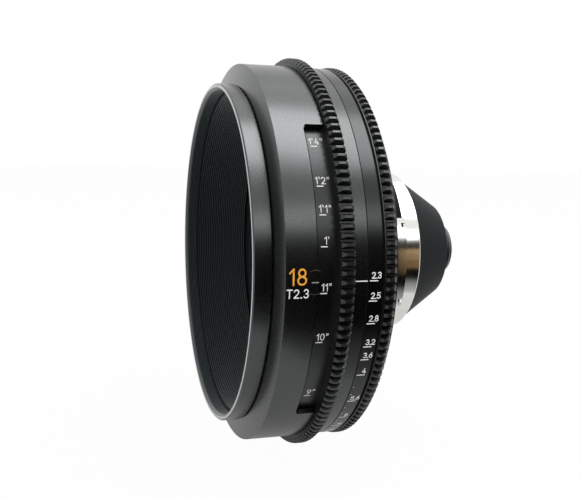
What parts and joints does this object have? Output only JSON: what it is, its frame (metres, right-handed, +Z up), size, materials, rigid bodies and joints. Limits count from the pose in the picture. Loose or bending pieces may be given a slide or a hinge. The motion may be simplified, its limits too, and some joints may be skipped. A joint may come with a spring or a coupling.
{
  "type": "cinema prime lens",
  "caption": "Wide cinema prime lens with geared focus and iris rings, a ribbed front bore, a bayonet rear mount, a sliding optical block and a bladed iris.",
  "frame": {"origin": "centre of the mount's flange seat, on the optical axis", "axes": "+Y along the optical axis towards the camera body, +X through the index line of the scales, +Z up"},
  "size_m": [0.128, 0.0844, 0.128],
  "materials": {
    "black_anodised": "satin black anodised aluminium",
    "matt_black": "matt black anodised aluminium",
    "bright_steel": "turned stainless steel",
    "screw_steel": "blackened steel",
    "blade_steel": "thin blackened spring steel",
    "brass": "plain brass",
    "glass": "coated optical glass"
  },
  "bodies": {
    "housing": {"front_ring": "black_anodised", "front_baffle": "matt_black", "front_barrel": "black_anodised", "barrel_screws": "screw_steel", "guide_tube": "black_anodised", "focus_bush_front": "brass", "focus_bush_rear": "brass", "focus_stop_pin": "bright_steel", "index_ring": "black_anodised", "index_screws": "screw_steel", "iris_bush": "brass", "rear_body": "black_anodised", "body_screws": "screw_steel", "mount_shim": "brass", "lens_mount": "bright_steel", "mount_screws": "screw_steel", "rear_shroud": "matt_black"},
    "focus_drum": {"focus_ring": "black_anodised", "focus_gear": "black_anodised", "focus_gear_screws": "screw_steel"},
    "optical_block": {"lens_block": "black_anodised", "cam_followers": "bright_steel", "front_cell": "black_anodised", "front_cell_screws": "screw_steel", "front_element": "glass", "front_retainer": "black_anodised", "second_element": "glass", "second_retainer": "black_anodised", "third_element": "glass", "third_retainer": "black_anodised", "iris_base": "black_anodised", "iris_retainer": "black_anodised", "rear_cell": "black_anodised", "rear_cell_screws": "screw_steel", "pair_front_element": "glass", "pair_rear_element": "glass", "pair_retainer": "black_anodised", "rear_element": "glass", "rear_retainer": "black_anodised"},
    "iris_control": {"iris_ring": "black_anodised", "iris_gear": "black_anodised", "iris_gear_screws": "screw_steel", "iris_drive_pin": "bright_steel"},
    "rotor": {"iris_rotor": "brass"},
    "blade_1": {"iris_blade_1": "blade_steel"},
    "blade_2": {"iris_blade_2": "blade_steel"},
    "blade_3": {"iris_blade_3": "blade_steel"},
    "blade_4": {"iris_blade_4": "blade_steel"},
    "blade_5": {"iris_blade_5": "blade_steel"},
    "blade_6": {"iris_blade_6": "blade_steel"},
    "blade_7": {"iris_blade_7": "blade_steel"},
    "blade_8": {"iris_blade_8": "blade_steel"},
    "blade_9": {"iris_blade_9": "blade_steel"}
  },
  "joints": [
    {"name": "focus_turn", "type": "hinge", "parent": "housing", "child": "focus_drum", "pos_m": [0, -0.03, 0], "axis": [0, 1, 0], "range_deg": [-37.2, 100.6]},
    {"name": "focus_slide", "type": "slide", "parent": "housing", "child": "optical_block", "axis": [0, 1, 0], "range_m": [-0.00045, 0.00121]},
    {"name": "iris_turn", "type": "hinge", "parent": "housing", "child": "iris_control", "pos_m": [0, -0.02, 0], "axis": [0, 1, 0], "range_deg": [-66, 0]},
    {"name": "iris_rotor_turn", "type": "hinge", "parent": "optical_block", "child": "rotor", "pos_m": [0, -0.0174, 0], "axis": [0, 1, 0], "range_deg": [-66, 0]},
    {"name": "blade_1_turn", "type": "hinge", "parent": "optical_block", "child": "blade_1", "pos_m": [0.0195, -0.0196, 0], "axis": [0, 1, 0], "range_deg": [-24.5, 0]},
    {"name": "blade_2_turn", "type": "hinge", "parent": "optical_block", "child": "blade_2", "pos_m": [0.01494, -0.0196, -0.01253], "axis": [0, 1, 0], "range_deg": [-24.5, 0]},
    {"name": "blade_3_turn", "type": "hinge", "parent": "optical_block", "child": "blade_3", "pos_m": [0.00339, -0.0196, -0.0192], "axis": [0, 1, 0], "range_deg": [-24.5, 0]},
    {"name": "blade_4_turn", "type": "hinge", "parent": "optical_block", "child": "blade_4", "pos_m": [-0.00975, -0.0196, -0.01689], "axis": [0, 1, 0], "range_deg": [-24.5, 0]},
    {"name": "blade_5_turn", "type": "hinge", "parent": "optical_block", "child": "blade_5", "pos_m": [-0.01832, -0.0196, -0.00667], "axis": [0, 1, 0], "range_deg": [-24.5, 0]},
    {"name": "blade_6_turn", "type": "hinge", "parent": "optical_block", "child": "blade_6", "pos_m": [-0.01832, -0.0196, 0.00667], "axis": [0, 1, 0], "range_deg": [-24.5, 0]},
    {"name": "blade_7_turn", "type": "hinge", "parent": "optical_block", "child": "blade_7", "pos_m": [-0.00975, -0.0196, 0.01689], "axis": [0, 1, 0], "range_deg": [-24.5, 0]},
    {"name": "blade_8_turn", "type": "hinge", "parent": "optical_block", "child": "blade_8", "pos_m": [0.00339, -0.0196, 0.0192], "axis": [0, 1, 0], "range_deg": [-24.5, 0]},
    {"name": "blade_9_turn", "type": "hinge", "parent": "optical_block", "child": "blade_9", "pos_m": [0.01494, -0.0196, 0.01253], "axis": [0, 1, 0], "range_deg": [-24.5, 0]}
  ],
  "couplings": [
    {"joint": "focus_slide", "follows": "focus_turn", "m_per_rad": 0.00068605},
    {"joint": "iris_rotor_turn", "follows": "iris_turn", "ratio": 1},
    {"joint": "blade_1_turn", "follows": "iris_turn", "ratio": 0.37121},
    {"joint": "blade_2_turn", "follows": "iris_turn", "ratio": 0.37121},
    {"joint": "blade_3_turn", "follows": "iris_turn", "ratio": 0.37121},
    {"joint": "blade_4_turn", "follows": "iris_turn", "ratio": 0.37121},
    {"joint": "blade_5_turn", "follows": "iris_turn", "ratio": 0.37121},
    {"joint": "blade_6_turn", "follows": "iris_turn", "ratio": 0.37121},
    {"joint": "blade_7_turn", "follows": "iris_turn", "ratio": 0.37121},
    {"joint": "blade_8_turn", "follows": "iris_turn", "ratio": 0.37121},
    {"joint": "blade_9_turn", "follows": "iris_turn", "ratio": 0.37121}
  ]
}
